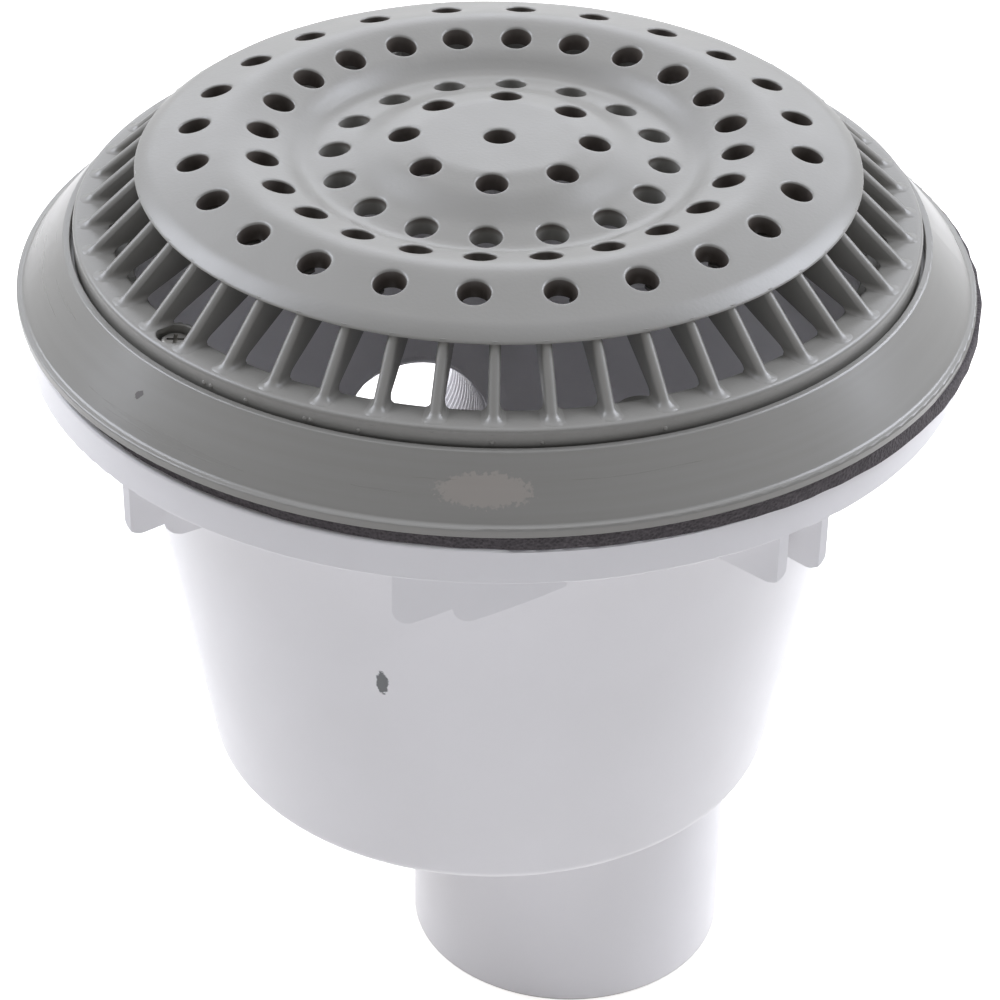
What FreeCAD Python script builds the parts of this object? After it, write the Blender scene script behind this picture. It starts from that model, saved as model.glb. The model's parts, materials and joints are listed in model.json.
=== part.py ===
"""Main drain of a swimming pool: a tapered sump with a flange, sealed by a face ring
on a foam gasket, under a screwed anti-vortex cover.

Millimetres. The origin is on the axis of the pot, in the plane of the spigot's end,
on which the drain stands; +Z points up to the cover.
"""
import FreeCAD
import Part
import math
import os

Vector = FreeCAD.Vector
UP = Vector(0, 0, 1)
ORIGIN = Vector(0, 0, 0)

# Driving sizes
face_ring_r = 116.0
cover_r = 101.8
flange_r = 114.0
mouth_r = 88.5
pot_wall = 4.0
pot_height = 118.1
pot_bottom_r = 72.4
spigot_r = 41.4
spigot_socket_r = 36.6
spigot_socket_depth = 50.0
spigot_bore_r = 33.6
spigot_length = 66.1
spigot_offset = 21.4
side_port_r = 21.6
side_port_hub_r = 27.6
side_port_reach = 112.0
rim_height = 9.4
gasket_thickness = 4.4
face_ring_height = 14.4
cover_disc_r = 86.6

# Directions, degrees anticlockwise from +X
hole_azimuth = -93.92
fin_azimuth = -90.17
side_port_azimuth = 107.4
spigot_azimuth = -3.9
cover_screw_azimuth = hole_azimuth - 45.0
ring_screw_azimuth = hole_azimuth + 22.5
tab_azimuth = -70.2

# Levels above the spigot's end
pot_floor = spigot_length
flange_bottom = pot_floor + pot_height
flange_top = flange_bottom + rim_height
ring_bottom = flange_top + gasket_thickness
ring_top = ring_bottom + face_ring_height
seat_depth = 3.2
seat = ring_top - seat_depth
cover_ring_height = 7.0
cover_ring_top = seat + cover_ring_height
disc_rim = cover_ring_top + 12.5
side_port_level = pot_floor + 39.9

# Cover
cover_wall = 3.3
cover_ring_width = 9.0
cover_gap = 0.8
hole_r = 3.75
hole_rings = ((0.0, 1), (22.7, 8), (39.4, 16), (56.6, 24), (73.0, 24))
fin_count = 48
fin_thickness = 2.6
fin_depth = 8.6
fin_foot_r = 99.2

# Fasteners: metric countersunk screws for the face ring, pan heads for the cover
ring_screw_count = 8
ring_screw_r = 96.5
ring_screw_shank_r = 2.5
ring_screw_head_r = 4.6
ring_screw_length = 22.0
cover_screw_r = 95.7
cover_screw_shank_r = 2.0
cover_screw_head_r = 3.6
cover_screw_head_height = 2.6
cover_screw_length = 13.0
counterbore_r = 4.2
counterbore_depth = 4.0
insert_wall = 1.2
insert_length = 8.0
boss_wall = 3.0
screw_clearance = 0.3
thread_clearance = 0.05

# Face ring
ring_wall = 3.4
ring_lip_width = 1.6
ring_lip_height = 2.0
ring_land_r = 88.5

# Flange
flange_plate = 5.0
rim_wall = 3.0
gasket_shift = Vector(2.1, 1.4, 0)
gasket_margin = 0.6

# Anchor claws under the flange: azimuth of the outer edge, its inset, the way the claw runs, its depth
claw_thickness = 4.2
claw_length = 25.0
claw_foot = 4.0
claw_corner = 3.0
claw_places = ((-137.7, 0.5, 0.0, 11.6), (-133.2, 5.4, 0.0, 9.7), (-101.1, 0.5, 0.0, 11.6),
               (-94.3, 0.5, 0.0, 9.7), (-54.6, 0.5, 180.0, 11.6), (-48.5, 0.5, 180.0, 12.6))


def polar(radius, azimuth, level=0.0):
    angle = math.radians(azimuth)
    return Vector(radius * math.cos(angle), radius * math.sin(angle), level)


def cylinder(radius, bottom, top, centre=ORIGIN):
    return Part.makeCylinder(radius, top - bottom, Vector(centre.x, centre.y, bottom), UP)


def tube(outer, inner, bottom, top, centre=ORIGIN):
    return cylinder(outer, bottom, top, centre).cut(cylinder(inner, bottom, top, centre))


def turned_to(shape, azimuth):
    """A copy of a shape that was made along +X, turned about the axis."""
    copy = shape.copy()
    copy.rotate(ORIGIN, UP, azimuth)
    return copy


def fused(first, others):
    return first.fuse(others).removeSplitter() if others else first


def outline(corners):
    """Closed wire in the XZ plane; a corner is (r, z) or (r, z, rounding)."""
    points = [Vector(corner[0], 0, corner[1]) for corner in corners]
    arcs = []
    spans = []
    for i, point in enumerate(points):
        rounding = corners[i][2] if len(corners[i]) > 2 else 0.0
        if rounding == 0.0:
            spans.append((point, point))
            arcs.append(None)
            continue
        back = (points[i - 1] - point).normalize()
        ahead = (points[(i + 1) % len(points)] - point).normalize()
        half = back.getAngle(ahead) / 2
        reach = rounding / math.tan(half)
        middle = point + (back + ahead).normalize() * (rounding / math.sin(half) - rounding)
        start, end = point + back * reach, point + ahead * reach
        arcs.append(Part.Arc(start, middle, end).toShape())
        spans.append((start, end))
    edges = []
    for i, arc in enumerate(arcs):
        if arc:
            edges.append(arc)
        start, end = spans[i][1], spans[(i + 1) % len(spans)][0]
        if start.distanceToPoint(end) > 1e-6:
            edges.append(Part.makeLine(start, end))
    return Part.Wire(edges)


def turned(corners):
    """Solid of revolution about the axis."""
    return Part.Face(outline(corners)).revolve(ORIGIN, UP, 360)


def plate(corners, thickness):
    """Upright plate centred on the XZ plane."""
    face = Part.Face(outline(corners))
    face.translate(Vector(0, -thickness / 2, 0))
    return face.extrude(Vector(0, thickness, 0))


def around(count, first_azimuth):
    return [first_azimuth + i * 360.0 / count for i in range(count)]


# Suction cover

def cover_disc():
    """Domed disc with a sunk centre: heights are above the lower edge of its rim."""
    top = [(0, 6.2), (19.0, 6.2, 8), (27.0, 4.8, 8), (35.0, 1.4, 8), (43.5, -0.1, 3), (46.3, 0.0, 3),
           (51.5, 3.6, 6), (65.2, 7.3, 14), (81.0, 3.2, 10), (cover_disc_r, 0.9, 0.4)]
    rim = [(cover_disc_r, 0, 0.3), (83.0, 0)]
    inside = [(corner[0], corner[1] - cover_wall) + corner[2:] for corner in top[-2:0:-1]]
    centre = [(0, top[0][1] - cover_wall)]
    return turned([(c[0], disc_rim + c[1]) + tuple(c[2:]) for c in top + rim + inside + centre])


def cover_holes():
    cutters = []
    for ring_r, count in hole_rings:
        for azimuth in around(count, hole_azimuth):
            cutters.append(cylinder(hole_r, disc_rim - 8, disc_rim + 12, polar(ring_r, azimuth)))
    return Part.makeCompound(cutters)


def fin():
    """Sloping blade from under the disc's rim to the ring, with a round outer edge."""
    top_r = cover_disc_r - 0.7
    inner_foot_r = cover_r - cover_ring_width + 0.3
    blade = plate([(top_r, disc_rim + 0.5), (top_r, disc_rim), (fin_foot_r, cover_ring_top),
                   (fin_foot_r, cover_ring_top - 1.5), (inner_foot_r, cover_ring_top - 1.5),
                   (inner_foot_r, cover_ring_top), (top_r - fin_depth, disc_rim - 0.4),
                   (top_r - fin_depth, disc_rim + 1.8)], fin_thickness)
    nose = [edge for edge in blade.Edges
            if abs(edge.Length - math.hypot(fin_foot_r - top_r, disc_rim - cover_ring_top)) < 0.01]
    return blade.makeFillet(fin_thickness / 2 - 0.05, nose)


def cover_ring():
    inner = cover_r - cover_ring_width
    ring = turned([(inner, seat), (cover_r, seat, 0.4), (cover_r, cover_ring_top, 1.0),
                   (inner, cover_ring_top, 0.8)])
    pads = []
    for azimuth in around(2, cover_screw_azimuth):
        pads.append(cylinder(counterbore_r + 1.6, seat, cover_ring_top, polar(cover_screw_r, azimuth)))
    for azimuth in around(2, tab_azimuth):
        pads.append(cylinder(6.0, seat, cover_ring_top - 1.5, polar(95.0, azimuth)))
    return fused(ring, pads)


def cover_screw_holes():
    cutters = []
    for azimuth in around(2, cover_screw_azimuth):
        centre = polar(cover_screw_r, azimuth)
        head_seat = cover_ring_top - counterbore_depth
        cutters.append(cylinder(counterbore_r, head_seat, cover_ring_top + 9, centre))
        cutters.append(cylinder(cover_screw_shank_r + screw_clearance, seat - 1, cover_ring_top, centre))
    return cutters


def suction_cover():
    blade = fin()
    blades = [turned_to(blade, azimuth) for azimuth in around(fin_count, fin_azimuth)]
    body = fused(cover_disc().cut(cover_holes()), blades + [cover_ring()])
    return body.cut(cover_screw_holes())


# Face ring and gasket

def face_ring():
    """Sloping ring with a sunk land for the cover, hollow underneath."""
    lip_r = cover_r + cover_gap
    slope_top = lip_r + ring_lip_width
    lip_level = ring_bottom + ring_lip_height
    body = turned([(ring_land_r, ring_bottom), (ring_land_r, seat, 0.6), (lip_r, seat),
                   (lip_r, ring_top, 0.3),
                   (slope_top, ring_top, 0.6), (face_ring_r - 1.4, lip_level, 1.0),
                   (face_ring_r, lip_level, 0.5), (face_ring_r, ring_bottom),
                   (face_ring_r - ring_wall, ring_bottom),
                   (slope_top - 1.4, seat - ring_wall), (ring_land_r + ring_wall, seat - ring_wall),
                   (ring_land_r + ring_wall, ring_bottom)])
    bosses = [cylinder(ring_screw_shank_r + boss_wall, ring_bottom, seat - 1, polar(ring_screw_r, azimuth))
              for azimuth in around(ring_screw_count, ring_screw_azimuth)]
    bosses += [cylinder(cover_screw_shank_r + insert_wall + boss_wall, ring_bottom, seat - 1,
                        polar(cover_screw_r, azimuth)) for azimuth in around(2, cover_screw_azimuth)]
    return fused(body, bosses).cut(ring_screw_cutters() + cover_insert_sockets())


def ring_screw_cutters():
    """Clearance hole and countersink of each ring screw, in the land."""
    cutters = []
    for azimuth in around(ring_screw_count, ring_screw_azimuth):
        centre = polar(ring_screw_r, azimuth)
        cutters.append(cylinder(ring_screw_shank_r + screw_clearance, ring_bottom - 1, seat + 1, centre))
        sink_r = ring_screw_head_r + screw_clearance
        sink_depth = sink_r - ring_screw_shank_r
        tip = Vector(centre.x, centre.y, seat - sink_depth - screw_clearance)
        cutters.append(Part.makeCone(ring_screw_shank_r, sink_r, sink_depth, tip, UP))
        cutters.append(cylinder(sink_r, seat - screw_clearance, seat + 1, centre))
    return cutters


def cover_insert_sockets():
    """Socket of each insert, with a way through below it for the screw's end."""
    cutters = []
    for azimuth in around(2, cover_screw_azimuth):
        centre = polar(cover_screw_r, azimuth)
        cutters.append(cylinder(cover_screw_shank_r + insert_wall, seat - insert_length, seat + 1, centre))
        cutters.append(cylinder(cover_screw_shank_r + screw_clearance, ring_bottom - 1, seat, centre))
    return cutters


def flange_gasket():
    """Flat foam washer with its screw holes; its outer edge lies a little to one side."""
    washer = cylinder(face_ring_r - gasket_margin, flange_top, ring_bottom, gasket_shift)
    hole_radius = ring_screw_shank_r + 0.5
    holes = [cylinder(hole_radius, flange_top - 1, ring_bottom + 1, polar(ring_screw_r, azimuth))
             for azimuth in around(ring_screw_count, ring_screw_azimuth)]
    return washer.cut(holes + [cylinder(mouth_r + 1.0, flange_top - 1, ring_bottom + 1)])


# Sump

def pot_inside():
    """Corners of the pot's tapered inside, from the mouth down to its floor."""
    taper = (mouth_r + pot_wall - pot_bottom_r) / pot_height
    floor_top = pot_floor + pot_wall
    floor_r = pot_bottom_r - pot_wall + taper * pot_wall
    return [(mouth_r, flange_bottom), (floor_r, floor_top, 6.0), (0, floor_top)]


def pot_and_flange():
    top_r = mouth_r + pot_wall
    under = flange_top - flange_plate
    return turned([(0, pot_floor), (pot_bottom_r, pot_floor, 4.0), (top_r, flange_bottom),
                   (top_r, under, 1.5), (flange_r - rim_wall, under, 1.5),
                   (flange_r - rim_wall, flange_bottom),
                   (flange_r, flange_bottom, 0.8), (flange_r, flange_top, 0.8), (mouth_r, flange_top, 0.8)]
                  + pot_inside())


def claw(azimuth, inset, heading, depth):
    """Hooked plate under the flange, deepest at the rim, rising as it runs inward."""
    foot = flange_bottom - depth
    root = flange_top - flange_plate + 0.5
    shape = plate([(0, root), (0, foot, claw_corner), (claw_foot, foot, claw_corner),
                   (claw_length, flange_bottom - 0.5), (claw_length, root)], claw_thickness)
    shape.rotate(ORIGIN, UP, heading)
    shape.translate(polar(flange_r - inset, azimuth))
    return shape


def claws():
    within = cylinder(flange_r - 0.1, flange_bottom - 20, flange_top)
    hooks = []
    for turn in (0.0, 180.0):
        for azimuth, inset, heading, depth in claw_places:
            hook = claw(azimuth + turn, inset, heading + spigot_azimuth + turn, depth)
            hooks.append(hook.common(within))
    return hooks


def ring_insert_bosses():
    outer = ring_screw_shank_r + insert_wall + boss_wall
    return [cylinder(outer, flange_top - insert_length - 5, flange_top - 1, polar(ring_screw_r, azimuth))
            for azimuth in around(ring_screw_count, ring_screw_azimuth)]


def ring_insert_sockets():
    return [cylinder(ring_screw_shank_r + insert_wall, flange_top - insert_length - 3, flange_top + 1,
                     polar(ring_screw_r, azimuth))
            for azimuth in around(ring_screw_count, ring_screw_azimuth)]


def spigot(radius, bottom, top):
    return cylinder(radius, bottom, top, polar(spigot_offset, spigot_azimuth))


def side_port(radius, reach_in, reach_out):
    """Round bar along the side port's axis."""
    direction = polar(1, side_port_azimuth)
    start = direction * reach_in + UP * side_port_level
    return Part.makeCylinder(radius, reach_out - reach_in, start, direction)


def sump_body():
    inside = mouth_r - 20
    hub = side_port(side_port_hub_r, inside, side_port_reach)
    stub = spigot(spigot_r, 0, pot_floor + 1)
    end_edges = [edge for edge in stub.Edges if edge.BoundBox.ZMax < 0.01]
    stub = stub.makeChamfer(1.2, end_edges)
    hollow = turned([(0, flange_top + 1), (mouth_r, flange_top + 1)] + pot_inside())
    body = fused(pot_and_flange(), claws() + ring_insert_bosses() + [stub, hub])
    cutters = [hollow, spigot(spigot_socket_r, -1, spigot_socket_depth),
               spigot(spigot_bore_r, 0, pot_floor + pot_wall + 1), side_port(side_port_r, 40, 130)]
    return body.cut(cutters + ring_insert_sockets()).removeSplitter()


# Fasteners

def ring_screws():
    screws = []
    for azimuth in around(ring_screw_count, ring_screw_azimuth):
        centre = polar(ring_screw_r, azimuth)
        top = seat - screw_clearance
        taper = ring_screw_head_r - ring_screw_shank_r
        tip = Vector(centre.x, centre.y, top - taper)
        head = Part.makeCone(ring_screw_shank_r, ring_screw_head_r, taper, tip, UP)
        shank = cylinder(ring_screw_shank_r, top - ring_screw_length, top, centre)
        screws.append(head.fuse(shank).removeSplitter().cut(cross_recess(centre, top)))
    return Part.makeCompound(screws)


def cross_recess(centre, top):
    """Cross slot cut into a screw's head."""
    slot = Part.makeBox(4.0, 0.9, 1.4, Vector(-2.0, -0.45, -1.2))
    cross = slot.fuse(turned_to(slot, 90))
    cross.translate(Vector(centre.x, centre.y, top))
    return cross


def cover_screws():
    screws = []
    for azimuth in around(2, cover_screw_azimuth):
        centre = polar(cover_screw_r, azimuth)
        under = cover_ring_top - counterbore_depth
        top = under + cover_screw_head_height
        head = cylinder(cover_screw_head_r, under, top, centre)
        head = head.makeFillet(1.2, [edge for edge in head.Edges if edge.BoundBox.ZMin > top - 0.01])
        shank = cylinder(cover_screw_shank_r, under - cover_screw_length, under + 0.5, centre)
        screws.append(head.fuse(shank).removeSplitter().cut(cross_recess(centre, top)))
    return Part.makeCompound(screws)


def inserts(shank_r, circle_r, count, first_azimuth, top):
    """Threaded bushes pressed into their sockets, flush with the face."""
    bushes = [tube(shank_r + insert_wall, shank_r + thread_clearance, top - insert_length, top,
                   polar(circle_r, azimuth)) for azimuth in around(count, first_azimuth)]
    return Part.makeCompound(bushes)


def write(name, shape):
    shape.exportStep("parts/" + name + ".step")


os.makedirs("parts", exist_ok=True)
write("suction_cover", suction_cover())
write("face_ring", face_ring())
write("flange_gasket", flange_gasket())
write("sump_body", sump_body())
write("cover_screws", cover_screws())
write("cover_inserts", inserts(cover_screw_shank_r, cover_screw_r, 2, cover_screw_azimuth, seat))
write("ring_screws", ring_screws())
write("ring_inserts", inserts(ring_screw_shank_r, ring_screw_r, ring_screw_count, ring_screw_azimuth,
                              flange_top))
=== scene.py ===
"""Looks of the pool main drain: fine cover, finishes, floor, light and camera.

Lengths are millimetres until a mesh is made; levels are above the spigot's end.
"""

import bisect
import json
import math

import bpy
from mathutils import Matrix, Vector, kdtree, noise
from mathutils.geometry import delaunay_2d_cdt


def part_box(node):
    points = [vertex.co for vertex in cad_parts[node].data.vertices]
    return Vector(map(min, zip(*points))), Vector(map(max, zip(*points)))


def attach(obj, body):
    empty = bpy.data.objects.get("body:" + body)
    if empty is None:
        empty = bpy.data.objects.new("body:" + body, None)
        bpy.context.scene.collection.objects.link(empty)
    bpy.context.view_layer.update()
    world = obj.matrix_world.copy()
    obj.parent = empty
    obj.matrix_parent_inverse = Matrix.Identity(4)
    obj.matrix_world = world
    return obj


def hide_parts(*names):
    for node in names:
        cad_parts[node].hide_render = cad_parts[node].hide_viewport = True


MM = 0.001

# Camera, from the perspective of the cover's circles
CAMERA_PLACE = (0.0, -0.70147, 0.59377)
CAMERA_DOWN = 33.3926
CAMERA_YAW = -0.1306
CAMERA_ROLL = 0.9698
CAMERA_LENS = 118.805
SENSOR = 36.0

# Light: each softbox has its place and its size in metres, and its power in watts
AMBIENT = 0.2
LAMP_COLOUR = "#f0f4ff"
LAMP_TARGET = (0, 0, 0.15)
LAMPS = (("left_softbox", (-0.9, 0.4, 1.0), (0.8, 0.8), 13.5),
         ("right_softbox", (0.9, 0.4, 1.0), (0.8, 0.8), 15.5),
         ("back_softbox", (0.0, 1.3, 0.8), (1.6, 0.6), 5.0),
         ("overhead_softbox", (0.0, 0.2, 1.4), (1.2, 1.2), 2.2),
         ("front_fill", (0.0, -1.5, 0.2), (1.8, 0.5), 3.6))

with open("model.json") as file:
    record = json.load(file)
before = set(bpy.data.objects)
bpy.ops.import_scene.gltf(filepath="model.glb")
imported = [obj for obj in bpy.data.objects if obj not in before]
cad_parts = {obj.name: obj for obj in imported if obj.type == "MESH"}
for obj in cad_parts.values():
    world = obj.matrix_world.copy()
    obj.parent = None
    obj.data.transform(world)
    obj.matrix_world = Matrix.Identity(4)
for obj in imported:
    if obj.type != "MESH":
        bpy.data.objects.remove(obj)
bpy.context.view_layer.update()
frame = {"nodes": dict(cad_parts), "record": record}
nodes = frame["nodes"]

# Cover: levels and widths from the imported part, the rest as moulded
cover_low, cover_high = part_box("suction_cover")
SEAT = cover_low.z / MM
COVER_R = (cover_high.x - cover_low.x) / 2 / MM
RING_TOP = SEAT + 7.0
RIM = RING_TOP + 12.5
RING_WIDTH = 9.0
DISC_R = 86.6
WALL = 4.5
DISC_PROFILE = ((0, 6.2), (19.0, 6.2, 8), (27.0, 4.8, 8), (35.0, 1.4, 8), (43.5, -0.1, 3), (46.3, 0.0, 3),
                (51.5, 3.6, 6), (65.2, 7.3, 14), (84.2, 2.2, 2.6), (DISC_R, 0.25))
WAVE_WIDTH = 13.0
WAVE_HEIGHT = 0.07
FLAT_UNDERSIDE_R = 81.0
LOWEST_UNDERSIDE = -9.0
HOLE_R = 3.75
HOLE_RINGS = ((0.0, 1), (22.7, 8), (39.4, 16), (56.6, 24), (73.0, 24))
HOLE_AZIMUTH = -93.92
FIN_AZIMUTH = -90.17
FIN_COUNT = 48
FIN_THICKNESS = 2.6
FIN_TOP_R = DISC_R - 0.7
FIN_FOOT_R = 99.2
FIN_INNER_TOP = (69.5, RIM - 0.4)
FIN_INNER_FOOT = (COVER_R - RING_WIDTH + 0.3, RING_TOP)
SCREW_AZIMUTH = HOLE_AZIMUTH - 45.0
SCREW_R = 95.7
PAD_R = 5.8
COUNTERBORE_R = 4.2
COUNTERBORE_DEPTH = 4.0
FLOOR_IN_WALL = 0.4
SHANK_HOLE_R = 2.3
TAB_AZIMUTH = -70.2
TAB_PLACE_R = 95.0
TAB_R = 6.0
TAB_BELOW_RING = 1.5
TAB_ROUNDING = 0.6
MOUTH_ROUNDING = 0.55
RIM_ROUNDING = 0.2
RING_ROUNDING = 1.0
FOOT_FILLET = 1.4
HEAD_FILLET = 0.5
FIN_IN_DISC = 0.6
FIN_IN_RING = 1.2
NUB_AZIMUTHS = (-129.3, -128.1, -122.5, -114.0, -113.2, -106.8, -90.3, -84.2, -68.7)
NUB_LEVEL = SEAT + 3.9
NUB_R = 0.7
NUB_SUNK = 0.35

# Gasket
gasket_low, gasket_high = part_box("flange_gasket")
GASKET_R = (gasket_high.x - gasket_low.x) / 2 / MM
GASKET_SHIFT = Vector((gasket_high.x + gasket_low.x, gasket_high.y + gasket_low.y)) / 2 / MM
GASKET_INNER_R = 89.5
GASKET_HOLE_R = 3.0
GASKET_UNEVEN = 0.9
RING_SCREW_R = 96.5
RING_SCREW_AZIMUTH = HOLE_AZIMUTH + 22.5

# Side port: taper thread of 11.5 turns to the inch
THREAD_PITCH = 25.4 / 11.5
THREAD_DEPTH = 0.7
THREAD_LEAD_IN = 6.5

# Marks of use and moulding, with a painted reflection and painted shade among them, each a place on the
# surface and half its size
RING_CHIP_SHADE = (-79.6, -74.2, 207.0)
RING_PAINTED_REFLECTION = (-2.0, -109.5, 206.0)
SUMP_MARKS = (((-25.5, -80.0, 131.7), (1.6, 2.0, 4.2), "#5d5f60"),)
GRIME_AND_SHADE_LEVELS = (RIM - 0.6, RIM + 0.4)
GRIME_AND_SHADE_RADII = (80.0, 78.0)
SAWN_LEVELS = (1.7, 1.1)


def srgb(code):
    """Linear colour from a hex code in sRGB."""
    channels = [int(code[i:i + 2], 16) / 255 for i in (1, 3, 5)]
    return tuple(c / 12.92 if c <= 0.04045 else ((c + 0.055) / 1.055) ** 2.4 for c in channels) + (1.0,)


def node(tree, kind, settings=(), **links):
    """Adds a shader node, sets its properties and inputs, and links the inputs that are sockets."""
    made = tree.nodes.new(kind)
    for key, value in dict(settings).items():
        setattr(made, key, value)
    for key, value in links.items():
        socket = made.inputs[int(key[1:]) if key[1:].isdigit() else key.replace("_", " ")]
        if isinstance(value, bpy.types.NodeSocket):
            tree.links.new(value, socket)
        else:
            socket.default_value = value
    return made


def dress(piece, material):
    piece.data.materials.clear()
    piece.data.materials.append(material)


def smooth(piece, angle=35):
    """Smooth shading that keeps edges sharper than the angle."""
    for other in bpy.context.selected_objects:
        other.select_set(False)
    bpy.context.view_layer.objects.active = piece
    piece.select_set(True)
    bpy.ops.object.shade_smooth_by_angle(angle=math.radians(angle))


# Finishes

def surface(name):
    """A new material with its tree and its shader."""
    material = bpy.data.materials.new(name)
    material.use_nodes = True
    return material, material.node_tree, material.node_tree.nodes["Principled BSDF"]


def place_mm(tree):
    """Place on the object, in millimetres."""
    place = node(tree, "ShaderNodeTexCoord").outputs["Object"]
    return node(tree, "ShaderNodeVectorMath", {"operation": "SCALE"}, _0=place, Scale=1 / MM).outputs[0]


def mark_mask(tree, place, centre, size_mm, raggedness):
    """1 inside an ellipsoid round a spot of the surface, 0 outside, with a ragged edge."""
    gap = node(tree, "ShaderNodeVectorMath", {"operation": "SUBTRACT"}, _0=place, _1=centre).outputs[0]
    shrunk = node(tree, "ShaderNodeVectorMath", {"operation": "DIVIDE"}, _0=gap, _1=size_mm).outputs[0]
    length = node(tree, "ShaderNodeVectorMath", {"operation": "LENGTH"}, _0=shrunk).outputs["Value"]
    rag = node(tree, "ShaderNodeTexNoise", Vector=place, Scale=1.1, Detail=3.0).outputs["Fac"]
    edge = node(tree, "ShaderNodeMath", {"operation": "MULTIPLY_ADD"}, _0=rag, _1=raggedness, _2=length)
    low, high = 1.0 + raggedness * 0.5, 0.85 + raggedness * 0.5
    inside = node(tree, "ShaderNodeMapRange", Value=edge.outputs[0], From_Min=low, From_Max=high)
    return inside.outputs["Result"]


def moulded_grey_abs():
    """Grey ABS from a fine-eroded mould: satin, faint flow marks, and the walls of the outer holes darkened
    by dirt and painted shade.

    The grain of 0.3 mm would not show, so it is drawn at 0.9 mm.
    """
    material, tree, shader = surface("moulded_grey_abs")
    place = place_mm(tree)
    flow = node(tree, "ShaderNodeTexNoise", Vector=place, Scale=1 / 22, Detail=3.0).outputs["Fac"]
    tone = node(tree, "ShaderNodeMixRGB", Fac=flow, Color1=srgb("#82807a"), Color2=srgb("#8b8984"))
    normal = node(tree, "ShaderNodeSeparateXYZ",
                  Vector=node(tree, "ShaderNodeNewGeometry").outputs["Normal"]).outputs["Z"]
    # Steep walls in the disc's outer holes turn brown-grey: dirt together with painted shade of the hole
    # walls.
    steep = node(tree, "ShaderNodeMapRange", Value=normal, From_Min=0.35, From_Max=0.05).outputs["Result"]
    level = node(tree, "ShaderNodeSeparateXYZ", Vector=place).outputs["Z"]
    in_disc = node(tree, "ShaderNodeMapRange", Value=level,
                   From_Min=GRIME_AND_SHADE_LEVELS[0], From_Max=GRIME_AND_SHADE_LEVELS[1])
    from_axis = node(tree, "ShaderNodeVectorMath", {"operation": "LENGTH"}, _0=node(
        tree, "ShaderNodeVectorMath", {"operation": "MULTIPLY"}, _0=place, _1=(1, 1, 0)).outputs[0])
    within = node(tree, "ShaderNodeMapRange", Value=from_axis.outputs["Value"],
                  From_Min=GRIME_AND_SHADE_RADII[0], From_Max=GRIME_AND_SHADE_RADII[1])
    hole = node(tree, "ShaderNodeMath", {"operation": "MULTIPLY"}, _0=steep, _1=in_disc.outputs["Result"])
    grime_and_painted_shade = node(tree, "ShaderNodeMath", {"operation": "MULTIPLY"}, _0=hole.outputs[0],
                 _1=within.outputs["Result"]).outputs[0]
    grimy_and_shaded = node(tree, "ShaderNodeMixRGB", Fac=grime_and_painted_shade, Color1=tone.outputs["Color"], Color2=srgb("#57504a"))
    tree.links.new(grimy_and_shaded.outputs["Color"], shader.inputs["Base Color"])
    handling = node(tree, "ShaderNodeTexNoise", Vector=place, Scale=1 / 9, Detail=4.0).outputs["Fac"]
    rough = node(tree, "ShaderNodeMapRange", Value=handling, To_Min=0.27, To_Max=0.42).outputs["Result"]
    tree.links.new(rough, shader.inputs["Roughness"])
    grain = node(tree, "ShaderNodeTexNoise", Vector=place, Scale=1 / 0.9, Detail=1.0).outputs["Fac"]
    bump = node(tree, "ShaderNodeBump", Height=grain, Distance=0.03 * MM, Strength=1.0)
    tree.links.new(bump.outputs["Normal"], shader.inputs["Normal"])
    shader.inputs["IOR"].default_value = 1.53
    return material


def polished_grey_abs():
    """The same ABS from a smoother mould: half gloss, slight sink waves, flow lines along the ring."""
    material, tree, shader = surface("polished_grey_abs")
    place = place_mm(tree)
    parts = node(tree, "ShaderNodeSeparateXYZ", Vector=place)
    turn = node(tree, "ShaderNodeMath", {"operation": "ARCTAN2"},
                _0=parts.outputs["Y"], _1=parts.outputs["X"])
    run = node(tree, "ShaderNodeCombineXYZ", X=turn.outputs[0], Y=node(
        tree, "ShaderNodeMath", {"operation": "DIVIDE"}, _0=parts.outputs["Z"], _1=2.5).outputs[0])
    lines = node(tree, "ShaderNodeTexNoise", Vector=run.outputs[0], Scale=1.5, Detail=4.0).outputs["Fac"]
    tone = node(tree, "ShaderNodeMixRGB", Fac=lines, Color1=srgb("#85837d"), Color2=srgb("#8e8c87"))
    # Pale warm patch on the front of the ring: a painted reflection.
    painted_reflection = mark_mask(tree, place, RING_PAINTED_REFLECTION, (11.0, 4.0, 4.0), 0.9)
    pale = node(tree, "ShaderNodeMixRGB", Fac=node(
        tree, "ShaderNodeMath", {"operation": "MULTIPLY"}, _0=painted_reflection, _1=0.35).outputs[0],
        Color1=tone.outputs["Color"], Color2=srgb("#b9ada3"))
    # Dark patch at a small chip on the ring: painted shade in the nick, which has no shape of its own.
    chip_shade = mark_mask(tree, place, RING_CHIP_SHADE, (1.9, 0.8, 1.2), 1.1)
    dark = node(tree, "ShaderNodeMixRGB", Fac=chip_shade, Color1=pale.outputs["Color"], Color2=srgb("#4b4644"))
    tree.links.new(dark.outputs["Color"], shader.inputs["Base Color"])
    rough = node(tree, "ShaderNodeMapRange", Value=lines, To_Min=0.24, To_Max=0.34).outputs["Result"]
    tree.links.new(rough, shader.inputs["Roughness"])
    sink = node(tree, "ShaderNodeTexNoise", Vector=place, Scale=1 / 16, Detail=2.0).outputs["Fac"]
    bump = node(tree, "ShaderNodeBump", Height=sink, Distance=0.12 * MM, Strength=1.0)
    tree.links.new(bump.outputs["Normal"], shader.inputs["Normal"])
    shader.inputs["IOR"].default_value = 1.53
    return material


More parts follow.
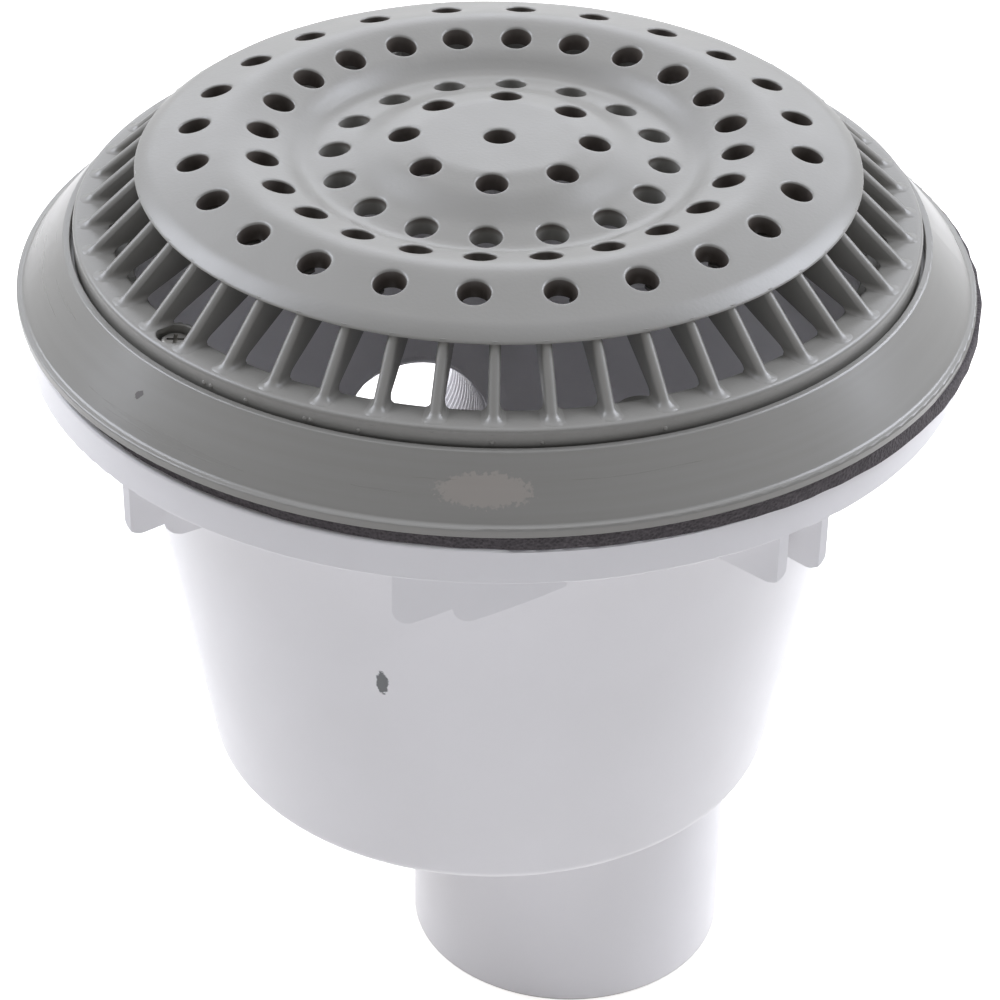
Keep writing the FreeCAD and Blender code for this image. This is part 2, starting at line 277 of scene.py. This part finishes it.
def neoprene_foam():
    """Closed-cell foam rubber cut from sheet: dead matt, cells about 0.8 mm wide open on the cut edge."""
    material, tree, shader = surface("neoprene_foam")
    place = place_mm(tree)
    cells = node(tree, "ShaderNodeTexVoronoi", Vector=place, Scale=1 / 0.8).outputs["Distance"]
    dust = node(tree, "ShaderNodeTexNoise", Vector=place, Scale=1 / 3.5, Detail=3.0).outputs["Fac"]
    tone = node(tree, "ShaderNodeMixRGB", Fac=dust, Color1=srgb("#3f3b3d"), Color2=srgb("#625c5e"))
    pit = node(tree, "ShaderNodeMapRange", Value=cells, From_Max=0.6, To_Min=0.55, To_Max=0.0)
    pitted = node(tree, "ShaderNodeMixRGB", Fac=pit.outputs["Result"],
                  Color1=tone.outputs["Color"], Color2=srgb("#262324"))
    tree.links.new(pitted.outputs["Color"], shader.inputs["Base Color"])
    bump = node(tree, "ShaderNodeBump", Height=cells, Distance=0.35 * MM, Strength=1.0)
    tree.links.new(bump.outputs["Normal"], shader.inputs["Normal"])
    shader.inputs["Roughness"].default_value = 0.95
    return material


def white_abs():
    """White ABS moulding: satin and near neutral, with a handling scuff.

    The sawn spigot end is duller and warmer.
    """
    material, tree, shader = surface("white_abs")
    place = place_mm(tree)
    cloud = node(tree, "ShaderNodeTexNoise", Vector=place, Scale=1 / 35, Detail=3.0).outputs["Fac"]
    tone = node(tree, "ShaderNodeMixRGB", Fac=cloud, Color1=srgb("#e8e6e6"), Color2=srgb("#efedee"))
    level = node(tree, "ShaderNodeSeparateXYZ", Vector=place).outputs["Z"]
    sawn = node(tree, "ShaderNodeMapRange", Value=level, From_Min=SAWN_LEVELS[0], From_Max=SAWN_LEVELS[1],
                To_Max=0.8).outputs["Result"]
    colour = node(tree, "ShaderNodeMixRGB", Fac=sawn, Color1=tone.outputs["Color"], Color2=srgb("#b3aca4"))
    for centre, size_mm, shade in SUMP_MARKS:
        mask = mark_mask(tree, place, centre, size_mm, 0.8)
        colour = node(tree, "ShaderNodeMixRGB", Fac=mask, Color1=colour.outputs["Color"], Color2=srgb(shade))
    tree.links.new(colour.outputs["Color"], shader.inputs["Base Color"])
    handling = node(tree, "ShaderNodeTexNoise", Vector=place, Scale=1 / 6, Detail=4.0).outputs["Fac"]
    rough = node(tree, "ShaderNodeMapRange", Value=handling, To_Min=0.3, To_Max=0.42).outputs["Result"]
    tree.links.new(rough, shader.inputs["Roughness"])
    ripple = node(tree, "ShaderNodeTexNoise", Vector=place, Scale=1 / 7, Detail=3.0).outputs["Fac"]
    bump = node(tree, "ShaderNodeBump", Height=ripple, Distance=0.06 * MM, Strength=1.0)
    tree.links.new(bump.outputs["Normal"], shader.inputs["Normal"])
    shader.inputs["IOR"].default_value = 1.53
    return material


def tumbled_metal(name, dull, bright, roughness):
    """Small machined or headed metal piece: fine tumbling marks 0.5 mm apart break up its gloss."""
    material, tree, shader = surface(name)
    place = place_mm(tree)
    marks = node(tree, "ShaderNodeTexNoise", Vector=place, Scale=1 / 0.5, Detail=3.0).outputs["Fac"]
    tone = node(tree, "ShaderNodeMixRGB", Fac=marks, Color1=srgb(dull), Color2=srgb(bright))
    tree.links.new(tone.outputs["Color"], shader.inputs["Base Color"])
    rough = node(tree, "ShaderNodeMapRange", Value=marks, To_Min=roughness - 0.08, To_Max=roughness + 0.1)
    tree.links.new(rough.outputs["Result"], shader.inputs["Roughness"])
    bump = node(tree, "ShaderNodeBump", Height=marks, Distance=0.02 * MM, Strength=1.0)
    tree.links.new(bump.outputs["Normal"], shader.inputs["Normal"])
    shader.inputs["Metallic"].default_value = 1.0
    return material


# Shapes in plan

def polar(radius, azimuth):
    angle = math.radians(azimuth)
    return Vector((radius * math.cos(angle), radius * math.sin(angle)))


def around(count, first):
    return [first + i * 360.0 / count for i in range(count)]


def rounded_line(corners, steps=8):
    """Open line through (r, z) or (r, z, rounding) corners, with an arc at each rounding."""
    points = [Vector(corner[:2]) for corner in corners]
    line = [points[0]]
    for i in range(1, len(points) - 1):
        rounding = corners[i][2] if len(corners[i]) > 2 else 0.0
        if not rounding:
            line.append(points[i])
            continue
        back = (points[i - 1] - points[i]).normalized()
        ahead = (points[i + 1] - points[i]).normalized()
        half = back.angle(ahead) / 2
        centre = points[i] + (back + ahead).normalized() * rounding / math.sin(half)
        start = points[i] + back * rounding / math.tan(half) - centre
        end = points[i] + ahead * rounding / math.tan(half) - centre
        turn = start.angle(end)
        for k in range(steps + 1):
            share = k / steps
            spoke = (start * math.sin((1 - share) * turn) + end * math.sin(share * turn)) / math.sin(turn)
            line.append(centre + spoke)
    line.append(points[-1])
    return line


def height_of(line):
    """Function that gives the line's level at a radius."""
    radii = [point.x for point in line]

    def level(radius):
        i = min(max(bisect.bisect_right(radii, radius), 1), len(radii) - 1)
        low, high = line[i - 1], line[i]
        share = (radius - low.x) / (high.x - low.x)
        return low.y + (high.y - low.y) * min(max(share, 0.0), 1.0)
    return level


def drop(distance, rounding):
    """How far a rounded edge lies below its face, at a distance in from the edge."""
    if distance >= rounding:
        return 0.0
    return rounding - math.sqrt(rounding ** 2 - (rounding - max(distance, 0.0)) ** 2)


def circle(centre, radius, count):
    return [centre + polar(radius, azimuth) for azimuth in around(count, 0.0)]


def triangulated(loops, loose, inside):
    """Triangles over loops and loose points, kept where inside says so; loops stay as edges."""
    points, edges = [], []
    for loop in loops:
        first = len(points)
        points += loop
        edges += [(first + i, first + (i + 1) % len(loop)) for i in range(len(loop))]
    points = points + loose
    plan, _, faces, origins, _, _ = delaunay_2d_cdt(points, edges, [], 0, 1e-5)
    index_of = {old: new for new, olds in enumerate(origins) for old in olds}
    kept = [face for face in faces if inside(sum((plan[i] for i in face), Vector((0, 0))) / 3)]
    return plan, kept, index_of


def plan_plate(holes, hole_segments, outer, inner, fill, top, bottom, rounding, edge_points=360):
    """Closed plate between two levels given by functions of the plan, pierced by round holes.

    outer and inner give the edge's radius at an azimuth; inner may be None. fill is the grid's step.
    """
    tree = kdtree.KDTree(len(holes))
    for i, (centre, _) in enumerate(holes):
        tree.insert((centre.x, centre.y, 0), i)
    tree.balance()

    def hole_distance(point):
        _, i, gap = tree.find((point.x, point.y, 0))
        return gap - holes[i][1]

    def edge_distance(point):
        azimuth = math.degrees(math.atan2(point.y, point.x))
        gaps = [outer(azimuth) - point.length]
        if inner:
            gaps.append(point.length - inner(azimuth))
        return min(gaps)

    def edge_loop(radius_at, count, inset):
        return [polar(radius_at(azimuth) + inset, azimuth) for azimuth in around(count, 0.0)]

    def face_sheet(step, rows, edge_rows, counts):
        loops = [circle(centre, radius, hole_segments) for centre, radius in holes]
        loops.append(edge_loop(outer, counts[0], 0.0))
        if inner:
            loops.append(edge_loop(inner, counts[1], 0.0))
        loose = []
        for row in rows:
            for centre, radius in holes:
                loose += circle(centre, radius + row, hole_segments)
        for row in edge_rows:
            loose += edge_loop(outer, counts[0], -row)
            if inner:
                loose += edge_loop(inner, counts[1], row)
        clear = max(rows + [0.0]) + step * 0.6
        edge_clear = max(edge_rows + [0.0]) + step * 0.6
        ring = step
        while ring < outer(0.0):
            count = max(6, round(2 * math.pi * ring / step))
            for azimuth in around(count, ring * 37.0):
                point = polar(ring, azimuth)
                if hole_distance(point) > clear and edge_distance(point) > edge_clear:
                    loose.append(point)
            ring += step
        return triangulated(loops, loose, lambda p: hole_distance(p) > -0.02 and edge_distance(p) > -0.02)

    counts = (edge_points, edge_points)
    rows = [rounding[0] * share for share in (0.07, 0.25, 0.55, 1.0)] + [rounding[0] * 2.2]
    edge_rows = [rounding[1] * share for share in (0.05, 0.2, 0.5, 1.0)] + [rounding[1] * 1.8]
    upper, upper_faces, upper_index = face_sheet(fill, rows, edge_rows, counts)
    lower, lower_faces, lower_index = face_sheet(fill * 2.5, [], [], counts)
    vertices = []
    for point in upper:
        sink = max(drop(hole_distance(point), rounding[0]), drop(edge_distance(point), rounding[1]))
        vertices.append((point.x, point.y, top(point) - sink))
    vertices += [(point.x, point.y, bottom(point)) for point in lower]
    shift = len(upper)
    faces = [tuple(face) for face in upper_faces]
    faces += [tuple(shift + i for i in reversed(face)) for face in lower_faces]
    lengths = [(hole_segments, False)] * len(holes) + [(counts[0], True)]
    if inner:
        lengths.append((counts[1], False))
    first = 0
    for length, outward in lengths:
        for i in range(length):
            a, b = first + i, first + (i + 1) % length
            wall = (upper_index[a], shift + lower_index[a], shift + lower_index[b], upper_index[b])
            faces.append(wall if outward else tuple(reversed(wall)))
        first += length
    return vertices, faces


# Cover

def cover_profile():
    """Upper face of the disc: sunk centre, slope, valley, crest and rim."""
    return height_of(rounded_line(DISC_PROFILE))


def cover_disc():
    level = cover_profile()
    holes = [(polar(ring_r, azimuth), HOLE_R) for ring_r, count in HOLE_RINGS
             for azimuth in around(count, HOLE_AZIMUTH)]

    def top(point):
        wave = noise.noise(Vector((point.x, point.y, 0)) / WAVE_WIDTH) * WAVE_HEIGHT
        return RIM + level(point.length) + wave

    def bottom(point):
        lowest = 0.0 if point.length > FLAT_UNDERSIDE_R else LOWEST_UNDERSIDE
        return RIM + max(level(point.length) - WALL, lowest)
    return plan_plate(holes, 32, lambda a: DISC_R, None, 1.9, top, bottom, (MOUTH_ROUNDING, RIM_ROUNDING))


def ring_edge(azimuth):
    """Radius of the cover ring's inner edge, which runs in round each screw pad."""
    edge = COVER_R - RING_WIDTH
    for pad in around(2, SCREW_AZIMUTH):
        turn = math.radians(azimuth - pad)
        across = SCREW_R * math.sin(turn)
        if abs(across) < PAD_R and math.cos(turn) > 0:
            edge = min(edge, SCREW_R * math.cos(turn) - math.sqrt(PAD_R ** 2 - across ** 2))
    return edge


def cover_ring():
    holes = [(polar(SCREW_R, azimuth), COUNTERBORE_R) for azimuth in around(2, SCREW_AZIMUTH)]
    return plan_plate(holes, 48, lambda a: COVER_R, ring_edge, 2.0, lambda p: RING_TOP, lambda p: SEAT,
                      (0.3, RING_ROUNDING))


def lathe(line, centre, count):
    """Closed ring of the line's points turned about an upright axis."""
    vertices, faces = [], []
    for azimuth in around(count, 0.0):
        for radius, level in line:
            place = centre + polar(radius, azimuth)
            vertices.append((place.x, place.y, level))
    width = len(line)
    for i in range(count):
        for k in range(width):
            a, b = i * width + k, i * width + (k + 1) % width
            c, d = ((i + 1) % count) * width + (k + 1) % width, ((i + 1) % count) * width + k
            faces.append((a, d, c, b))
    return vertices, faces


def counterbore_floor(azimuth):
    floor = RING_TOP - COUNTERBORE_DEPTH
    edge = COUNTERBORE_R + FLOOR_IN_WALL
    line = [(SHANK_HOLE_R, SEAT), (edge, SEAT), (edge, floor), (SHANK_HOLE_R, floor)]
    return lathe(line, polar(SCREW_R, azimuth), 48)


def tab(azimuth):
    top = RING_TOP - TAB_BELOW_RING
    rim = [(TAB_R - TAB_ROUNDING + TAB_ROUNDING * math.sin(turn),
            top - TAB_ROUNDING + TAB_ROUNDING * math.cos(turn))
           for turn in (0.0, 0.4, 0.8, 1.2, math.pi / 2)]
    return lathe([(0.01, SEAT), (0.01, top)] + rim + [(TAB_R, SEAT)], polar(TAB_PLACE_R, azimuth), 48)


def fin_section(level):
    """Plan outline of a fin along +X at a level, flared where it meets the ring and the disc."""
    share = (RIM - level) / (RIM - RING_TOP)
    outer = FIN_TOP_R + (FIN_FOOT_R - FIN_TOP_R) * share
    slope = (FIN_INNER_FOOT[0] - FIN_INNER_TOP[0]) / (FIN_INNER_TOP[1] - FIN_INNER_FOOT[1])
    inner = FIN_INNER_TOP[0] + (FIN_INNER_TOP[1] - level) * slope
    flare = drop(level - RING_TOP, FOOT_FILLET) + drop(RIM - level, HEAD_FILLET)
    half = FIN_THICKNESS / 2 + flare
    nose = FIN_THICKNESS / 2 * 1.35
    outline = []
    for i in range(11):
        turn = math.pi * (i / 10 - 0.5)
        outline.append((outer + flare - nose + nose * math.cos(turn), half * math.sin(turn)))
    for i in range(1, 3):
        outline.append((outer - nose - (outer - nose - inner - 0.5) * i / 3, half))
    outline += [(inner + 0.5, half), (inner, half - 0.5), (inner, 0.5 - half), (inner + 0.5, -half)]
    for i in range(2, 0, -1):
        outline.append((outer - nose - (outer - nose - inner - 0.5) * i / 3, -half))
    return outline


def fin(azimuth):
    middle = [RIM - HEAD_FILLET - (RIM - RING_TOP - HEAD_FILLET - FOOT_FILLET) * i / 5 for i in range(6)]
    head = [RIM + FIN_IN_DISC] + [RIM - HEAD_FILLET * share for share in (0.0, 0.1, 0.35, 0.65)]
    foot = [RING_TOP + FOOT_FILLET * share for share in (0.75, 0.5, 0.3, 0.12, 0.0)]
    foot.append(RING_TOP - FIN_IN_RING)
    turn = Matrix.Rotation(math.radians(azimuth), 3, "Z")
    vertices, faces = [], []
    levels = head + middle + foot
    for level in levels:
        outline = fin_section(min(max(level, RING_TOP), RIM) if level > RING_TOP else level)
        vertices += [turn @ Vector((x, y, level)) for x, y in outline]
    width = len(outline)
    for i in range(len(levels) - 1):
        for k in range(width):
            a, b = i * width + k, i * width + (k + 1) % width
            faces.append((a, a + width, b + width, b))
    faces.append(tuple(range(width)))
    last = (len(levels) - 1) * width
    faces.append(tuple(last + k for k in reversed(range(width))))
    return vertices, faces


def piece_from(name, shells, material, node_name):
    """One object from closed shells, riding on the part; it stands for the node where one is named."""
    vertices, faces = [], []
    for shell_vertices, shell_faces in shells:
        first = len(vertices)
        vertices += [Vector(v) * MM for v in shell_vertices]
        faces += [tuple(first + i for i in face) for face in shell_faces]
    mesh = bpy.data.meshes.new(name)
    mesh.from_pydata(vertices, [], faces)
    mesh.validate()
    piece = bpy.data.objects.new(name, mesh)
    bpy.context.scene.collection.objects.link(piece)
    dress(piece, material)
    smooth(piece)
    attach(piece, "root")
    if node_name:
        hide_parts(node_name)
    return piece


def make_cover(material):
    shells = [cover_disc(), cover_ring()]
    shells += [fin(azimuth) for azimuth in around(FIN_COUNT, FIN_AZIMUTH)]
    shells += [counterbore_floor(azimuth) for azimuth in around(2, SCREW_AZIMUTH)]
    shells += [tab(azimuth) for azimuth in around(2, TAB_AZIMUTH)]
    return piece_from("moulded_cover", shells, material, "suction_cover")


# Gasket

def gasket_edge(azimuth):
    """Radius of the foam's outer edge, which lies to one side and is cut a little unevenly."""
    along = polar(1.0, azimuth)
    across = along.x * GASKET_SHIFT.y - along.y * GASKET_SHIFT.x
    reach = along.dot(GASKET_SHIFT) + math.sqrt(GASKET_R ** 2 - across ** 2)
    ragged = 0.22 + 0.5 * noise.noise(Vector((along.x, along.y, 0)) * GASKET_R / 7.0)
    return reach - max(ragged, 0.0) * GASKET_UNEVEN


def make_gasket(material):
    holes = [(polar(RING_SCREW_R, azimuth), GASKET_HOLE_R) for azimuth in around(8, RING_SCREW_AZIMUTH)]
    low, high = (corner.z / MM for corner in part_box("flange_gasket"))
    shell = plan_plate(holes, 32, gasket_edge, lambda azimuth: GASKET_INNER_R, 2.4, lambda point: high,
                       lambda point: low, (0.3, 0.5), 720)
    return piece_from("foam_washer", [shell], material, "flange_gasket")


# Small moulded details

def blob(centre, radius):
    """Small rounded nub of plastic."""
    rings, spokes = 6, 12
    vertices = [centre + Vector((0, 0, radius))]
    for i in range(1, rings):
        fall = math.pi * i / rings
        for k in range(spokes):
            turn = 2 * math.pi * k / spokes
            vertices.append(centre + radius * Vector((math.sin(fall) * math.cos(turn),
                                                      math.sin(fall) * math.sin(turn),
                                                      math.cos(fall))))
    vertices.append(centre - Vector((0, 0, radius)))
    faces = [(0, 1 + k, 1 + (k + 1) % spokes) for k in range(spokes)]
    for i in range(rings - 2):
        for k in range(spokes):
            a, b = 1 + i * spokes + k, 1 + i * spokes + (k + 1) % spokes
            faces.append((a, a + spokes, b + spokes, b))
    last = len(vertices) - 1
    faces += [(last, last - spokes + (k + 1) % spokes, last - spokes + k) for k in range(spokes)]
    return vertices, faces


def groove_nubs():
    """Gate nubs on the cover ring's outside, just above the groove."""
    shells = []
    for azimuth in NUB_AZIMUTHS:
        place = polar(COVER_R - NUB_SUNK, azimuth)
        shells.append(blob(Vector((place.x, place.y, NUB_LEVEL)), NUB_R))
    return shells


def port_thread():
    """Thread ridges of the side port, a coil wound on the port's axis."""
    port = next(mount for mount in frame["record"]["mounts"] if mount["name"] == "side_port")
    axis = Vector(port["axis"])
    middle = Vector(port["pos_m"]) / MM
    length = port["dims"]["length_mm"]
    radius = port["dims"]["r_mm"]
    side = axis.cross(Vector((0, 0, 1)))
    turns = (length - THREAD_LEAD_IN - 2.0) / THREAD_PITCH
    steps = 72
    section = ((0.4, -0.5), (-THREAD_DEPTH, -0.12), (-THREAD_DEPTH, 0.12), (0.4, 0.5))
    vertices, faces = [], []
    count = round(turns * steps)
    for i in range(count + 1):
        turn = 2 * math.pi * i / steps
        out = side * math.cos(turn) + Vector((0, 0, 1)) * math.sin(turn)
        along = THREAD_LEAD_IN - length / 2 + THREAD_PITCH * i / steps
        for rise, across in section:
            vertices.append(middle + axis * (along + across * THREAD_PITCH) + out * (radius + rise))
    for i in range(count):
        for k in range(4):
            a, b = i * 4 + k, i * 4 + (k + 1) % 4
            faces.append((a, b, b + 4, a + 4))
    faces.append((3, 2, 1, 0))
    faces.append(tuple(count * 4 + k for k in range(4)))
    return vertices, faces


# Studio

def add_camera():
    data = bpy.data.cameras.new("camera")
    data.lens = CAMERA_LENS
    data.sensor_width = SENSOR
    data.sensor_fit = "HORIZONTAL"
    camera = bpy.data.objects.new("camera", data)
    turn = (Matrix.Rotation(math.radians(CAMERA_YAW), 4, "Z")
            @ Matrix.Rotation(math.radians(90 - CAMERA_DOWN), 4, "X")
            @ Matrix.Rotation(math.radians(CAMERA_ROLL), 4, "Z"))
    camera.matrix_world = Matrix.Translation(Vector(CAMERA_PLACE)) @ turn
    bpy.context.scene.collection.objects.link(camera)
    bpy.context.scene.camera = camera


def add_lamp(name, place, size_xy, power):
    data = bpy.data.lights.new(name, "AREA")
    data.shape = "RECTANGLE"
    data.size, data.size_y = size_xy
    data.energy = power
    data.color = srgb(LAMP_COLOUR)[:3]
    lamp = bpy.data.objects.new(name, data)
    direction = Vector(LAMP_TARGET) - Vector(place)
    turn = direction.to_track_quat("-Z", "Y").to_matrix().to_4x4()
    lamp.matrix_world = Matrix.Translation(Vector(place)) @ turn
    bpy.context.scene.collection.objects.link(lamp)


def seen_ray(tree):
    """1 for rays that show the background: from the camera, and on from gloss and glass."""
    path = node(tree, "ShaderNodeLightPath").outputs
    direct = node(tree, "ShaderNodeMath", {"operation": "MAXIMUM"}, _0=path["Is Camera Ray"],
                  _1=path["Is Glossy Ray"])
    return node(tree, "ShaderNodeMath", {"operation": "MAXIMUM"}, _0=direct.outputs[0],
                _1=path["Is Transmission Ray"]).outputs[0]


def add_world():
    """White where the camera, gloss or glass shows it; weaker, slightly blue light on the object."""
    world = bpy.data.worlds.new("studio")
    bpy.context.scene.world = world
    world.use_nodes = True
    tree = world.node_tree
    tree.nodes.clear()
    light = node(tree, "ShaderNodeBackground", Color=srgb("#f6f7ff"), Strength=AMBIENT)
    white = node(tree, "ShaderNodeBackground", Color=srgb("#ffffff"), Strength=1.0)
    mix = node(tree, "ShaderNodeMixShader")
    tree.links.new(seen_ray(tree), mix.inputs["Fac"])
    tree.links.new(light.outputs[0], mix.inputs[1])
    tree.links.new(white.outputs[0], mix.inputs[2])
    out = node(tree, "ShaderNodeOutputWorld")
    tree.links.new(mix.outputs[0], out.inputs["Surface"])


def floor_material():
    """Pale floor, near white to the camera, which keeps a soft shadow."""
    material = bpy.data.materials.new("floor_white")
    material.use_nodes = True
    tree = material.node_tree
    tree.nodes.clear()
    bounce = node(tree, "ShaderNodeBsdfDiffuse", Color=srgb("#e8e5e0"))
    glow = node(tree, "ShaderNodeEmission", Color=srgb("#ffffff"), Strength=0.8)
    seen = node(tree, "ShaderNodeAddShader")
    tree.links.new(bounce.outputs[0], seen.inputs[0])
    tree.links.new(glow.outputs[0], seen.inputs[1])
    mix = node(tree, "ShaderNodeMixShader")
    tree.links.new(seen_ray(tree), mix.inputs["Fac"])
    tree.links.new(bounce.outputs[0], mix.inputs[1])
    tree.links.new(seen.outputs[0], mix.inputs[2])
    out = node(tree, "ShaderNodeOutputMaterial")
    tree.links.new(mix.outputs[0], out.inputs["Surface"])
    return material


def add_floor():
    bpy.ops.mesh.primitive_plane_add(size=6, location=(0, 0, 0))
    floor = bpy.context.object
    floor.name = "floor"
    dress(floor, floor_material())


cover_plastic = moulded_grey_abs()
ring_plastic = polished_grey_abs()
foam = neoprene_foam()
sump_plastic = white_abs()
stainless = tumbled_metal("tumbled_stainless", "#8d8b87", "#a5a39f", 0.42)
brass = tumbled_metal("turned_brass", "#b18c4c", "#cfae68", 0.3)
looks = {"suction_cover": cover_plastic, "face_ring": ring_plastic, "flange_gasket": foam,
         "sump_body": sump_plastic, "cover_screws": stainless, "cover_inserts": brass,
         "ring_screws": stainless, "ring_inserts": brass}
for name, material in looks.items():
    dress(nodes[name], material)
    smooth(nodes[name])
make_cover(cover_plastic)
make_gasket(foam)
piece_from("groove_nubs", groove_nubs(), cover_plastic, None)
piece_from("port_thread", [port_thread()], sump_plastic, None)

add_floor()
add_world()
for lamp in LAMPS:
    add_lamp(*lamp)
add_camera()
bpy.context.scene.view_settings.view_transform = "Standard"
